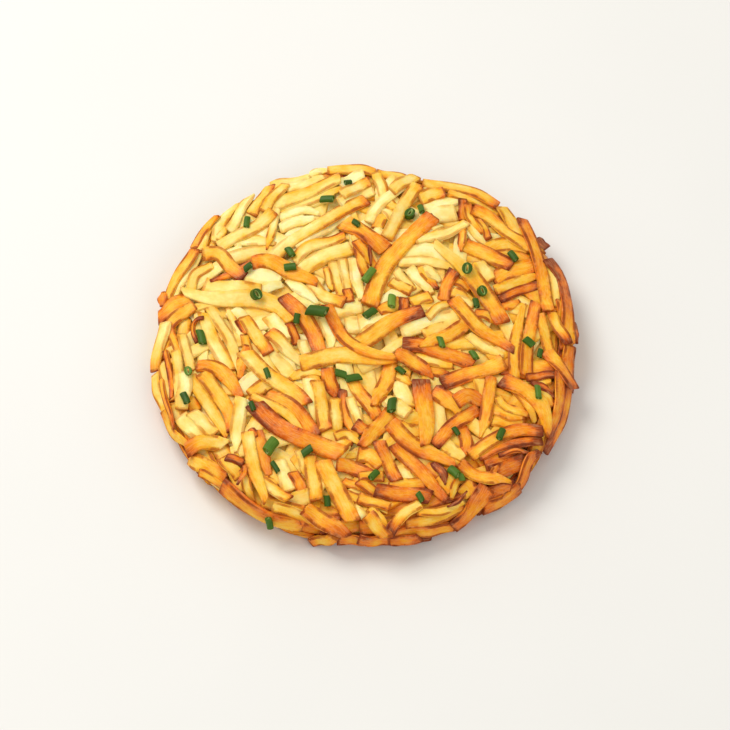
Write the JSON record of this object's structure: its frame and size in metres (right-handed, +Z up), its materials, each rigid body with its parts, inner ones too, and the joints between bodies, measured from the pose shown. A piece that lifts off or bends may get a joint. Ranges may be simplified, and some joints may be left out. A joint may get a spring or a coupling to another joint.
{
  "type": "potato rosti",
  "caption": "Thick round pan-fried cake of coarse potato strips, golden with browned tips, scattered with cut chives; lies flat on its underside.",
  "frame": {"origin": "middle of the flat underside", "axes": "+Z up out of the domed top, X across the cake and Y away from the side shown nearest"},
  "size_m": [0.1854, 0.1908, 0.0282],
  "materials": {
    "golden_potato": "potato strips fried golden, with toasted edges and a thin sheen of oil",
    "pale_potato": "soft cooked potato, pale cream-yellow, moist and slightly translucent",
    "browned_potato": "potato strips fried to an orange-brown crust, darkest at the ends and edges",
    "chive_green": "fresh cut chive, dark green and waxy outside, paler and matt where it is cut"
  },
  "bodies": {
    "root": {"rosti": "golden_potato"}
  },
  "joints": []
}
